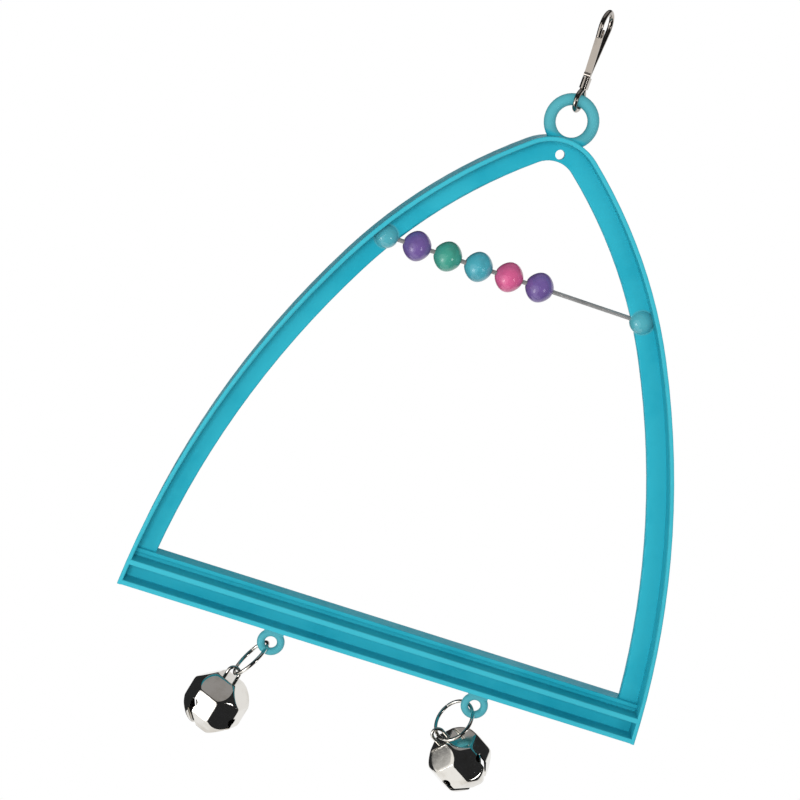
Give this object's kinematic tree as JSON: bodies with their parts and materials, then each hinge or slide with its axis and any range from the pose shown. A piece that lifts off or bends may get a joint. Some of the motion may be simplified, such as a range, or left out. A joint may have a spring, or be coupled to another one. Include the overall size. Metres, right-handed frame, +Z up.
{
  "type": "bird swing",
  "caption": "Hanging cage swing for a small bird: pointed plastic arch with a ribbed perch, beads sliding on a wire, jingle bells on links and a sprung hook.",
  "frame": {"origin": "the hook's seat: top of the inside of its crown, where the cage bar bears", "axes": "+Z up along the swing's height, +X along the perch, -Y towards the viewer"},
  "size_m": [0.14, 0.0154, 0.2058],
  "materials": {
    "frame_plastic": "moulded turquoise plastic, satin gloss",
    "bead_purple": "glossy purple plastic",
    "bead_green": "glossy green plastic",
    "bead_turquoise": "glossy turquoise plastic",
    "bead_pink": "glossy pink plastic",
    "wire_steel": "drawn steel wire",
    "plated_steel": "bright nickel plating",
    "pellet_steel": "plain steel"
  },
  "bodies": {
    "hook": {"hook_wire": "plated_steel", "crimp_sleeve": "plated_steel"},
    "gate": {"gate_leaf": "plated_steel"},
    "frame": {"swing_frame": "frame_plastic", "bead_wire": "wire_steel"},
    "bead_1": {"bead_1_purple": "bead_purple"},
    "bead_2": {"bead_2_green": "bead_green"},
    "bead_3": {"bead_3_turquoise": "bead_turquoise"},
    "bead_4": {"bead_4_pink": "bead_pink"},
    "bead_5": {"bead_5_purple": "bead_purple"},
    "link_left": {"link_ring_left": "plated_steel"},
    "bell_left": {"bell_shell_left": "plated_steel", "bell_loop_left": "plated_steel"},
    "pellet_left": {"bell_pellet_left": "pellet_steel"},
    "link_right": {"link_ring_right": "plated_steel"},
    "bell_right": {"bell_shell_right": "plated_steel", "bell_loop_right": "plated_steel"},
    "pellet_right": {"bell_pellet_right": "pellet_steel"}
  },
  "joints": [
    {"name": "gate_press", "type": "hinge", "parent": "hook", "child": "gate", "pos_m": [-0.00028, -0.00059, -0.01477], "axis": [-0.9063, 0.4226, 0], "range_deg": [0, 16], "stiffness_Nm_per_rad": 0.02, "springref_deg": -4.01},
    {"name": "frame_swing", "type": "hinge", "parent": "hook", "child": "frame", "pos_m": [0, 0, -0.0211], "axis": [1, 0, 0], "range_deg": [-60, 60]},
    {"name": "bead_1_slide", "type": "slide", "parent": "frame", "child": "bead_1", "axis": [1, 0, 0], "range_m": [-0.00038, 0.00389]},
    {"name": "bead_2_slide", "type": "slide", "parent": "bead_1", "child": "bead_2", "axis": [1, 0, 0], "range_m": [0, 0.00389]},
    {"name": "bead_3_slide", "type": "slide", "parent": "bead_2", "child": "bead_3", "axis": [1, 0, 0], "range_m": [0, 0.00389]},
    {"name": "bead_4_slide", "type": "slide", "parent": "bead_3", "child": "bead_4", "axis": [1, 0, 0], "range_m": [0, 0.00389]},
    {"name": "bead_5_slide", "type": "slide", "parent": "bead_4", "child": "bead_5", "axis": [1, 0, 0], "range_m": [0, 0.00389]},
    {"name": "link_left_swing", "type": "hinge", "parent": "frame", "child": "link_left", "pos_m": [-0.028, 0, -0.1763], "axis": [0, 1, 0], "range_deg": [-76, 14]},
    {"name": "bell_left_swing", "type": "hinge", "parent": "link_left", "child": "bell_left", "pos_m": [-0.0344, 0, -0.18695], "axis": [0, 1, 0], "range_deg": [-21, 59]},
    {"name": "pellet_left_rattle", "type": "slide", "parent": "bell_left", "child": "pellet_left", "axis": [0.2079, 0, 0.9781], "range_m": [0, 0.0087]},
    {"name": "link_right_swing", "type": "hinge", "parent": "frame", "child": "link_right", "pos_m": [0.028, 0, -0.1763], "axis": [0, 1, 0], "range_deg": [-53, 12]},
    {"name": "bell_right_swing", "type": "hinge", "parent": "link_right", "child": "bell_right", "pos_m": [0.02123, 0, -0.18672], "axis": [0, 1, 0], "range_deg": [0, 131]},
    {"name": "pellet_right_rattle", "type": "slide", "parent": "bell_right", "child": "pellet_right", "axis": [-0.848, 0, 0.5299], "range_m": [0, 0.0087]}
  ]
}
